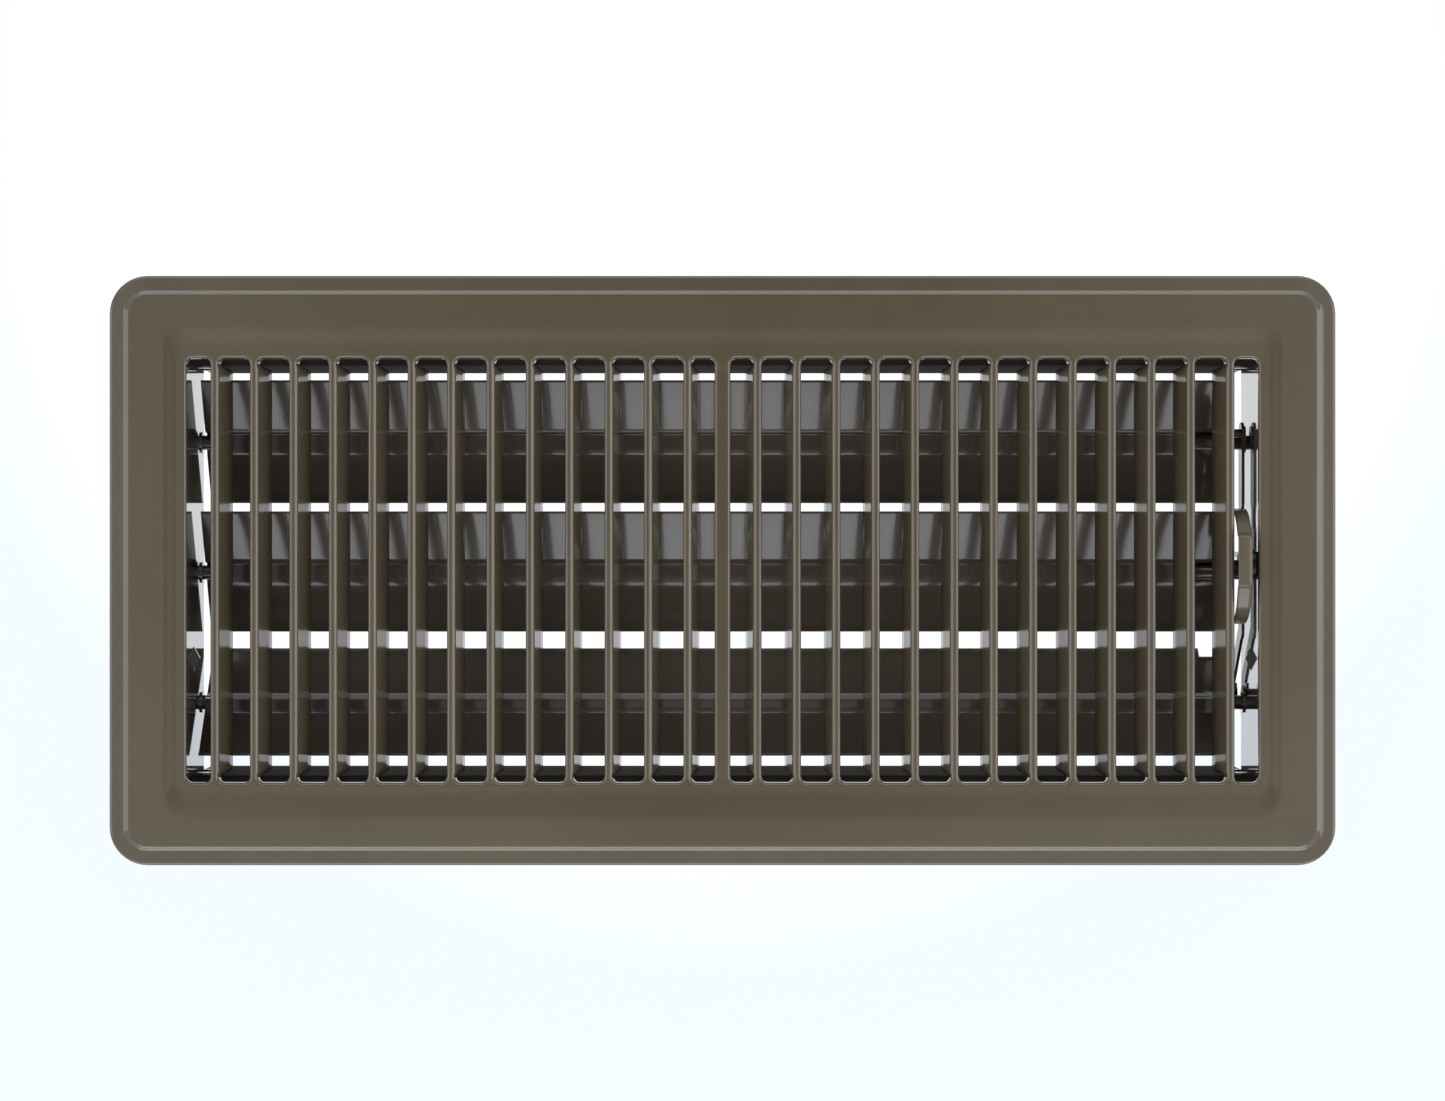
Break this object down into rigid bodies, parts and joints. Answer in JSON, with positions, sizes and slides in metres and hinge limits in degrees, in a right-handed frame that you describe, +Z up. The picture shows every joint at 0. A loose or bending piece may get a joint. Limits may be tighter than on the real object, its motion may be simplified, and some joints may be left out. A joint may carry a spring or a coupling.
{
  "type": "louvred floor register",
  "caption": "Stamped steel floor register: a two-way louvred face on a short duct neck, with damper blades worked together by a thumb lever.",
  "frame": {"origin": "centre of the neck's bottom edges, under the middle of the face", "axes": "+X along the louvre field towards the lever, +Y across it, +Z up out of the face"},
  "size_m": [0.288, 0.1386, 0.0465],
  "materials": {
    "face_paint": "satin brown baked enamel",
    "neck_paint": "thin dark overspray on steel, rough",
    "end_paint": "glossy brown enamel",
    "blade_paint": "semi-gloss dark brown enamel",
    "link_paint": "semi-gloss brown enamel",
    "plated_steel": "zinc plated",
    "spring_steel": "plain spring steel"
  },
  "bodies": {
    "frame": {"face_plate": "face_paint", "side_rail_rear": "neck_paint", "side_rail_front": "neck_paint", "end_plate_left": "end_paint", "end_plate_right": "end_paint", "corner_rivets_left": "plated_steel", "corner_rivets_right": "plated_steel", "lever_rivet": "plated_steel", "friction_washer": "spring_steel"},
    "blade_middle": {"blade_middle": "blade_paint", "link_pin_middle": "plated_steel"},
    "blade_rear": {"blade_rear": "blade_paint", "link_pin_rear": "plated_steel"},
    "blade_front": {"blade_front": "blade_paint", "link_pin_front": "plated_steel"},
    "link_bar": {"link_bar": "link_paint"},
    "lever": {"rocker_lever": "face_paint"}
  },
  "joints": [
    {"name": "middle_blade_hinge", "type": "hinge", "parent": "frame", "child": "blade_middle", "pos_m": [0, -0.0006, 0.018], "axis": [1, 0, 0], "range_deg": [-26, 45]},
    {"name": "rear_blade_hinge", "type": "hinge", "parent": "frame", "child": "blade_rear", "pos_m": [0, 0.0308, 0.018], "axis": [1, 0, 0], "range_deg": [-26, 45]},
    {"name": "front_blade_hinge", "type": "hinge", "parent": "frame", "child": "blade_front", "pos_m": [0, -0.032, 0.018], "axis": [1, 0, 0], "range_deg": [-45, 26]},
    {"name": "link_bar_pivot", "type": "hinge", "parent": "blade_middle", "child": "link_bar", "pos_m": [0.12455, 0.00145, 0.02469], "axis": [1, 0, 0], "range_deg": [-45, 26]},
    {"name": "lever_pivot", "type": "hinge", "parent": "frame", "child": "lever", "pos_m": [0.12365, 0.00145, 0.0315], "axis": [1, 0, 0], "range_deg": [-37, 21.4]}
  ],
  "couplings": [
    {"joint": "rear_blade_hinge", "follows": "middle_blade_hinge", "ratio": 1},
    {"joint": "front_blade_hinge", "follows": "middle_blade_hinge", "ratio": -1},
    {"joint": "link_bar_pivot", "follows": "middle_blade_hinge", "ratio": -1},
    {"joint": "lever_pivot", "follows": "middle_blade_hinge", "ratio": -0.82}
  ]
}
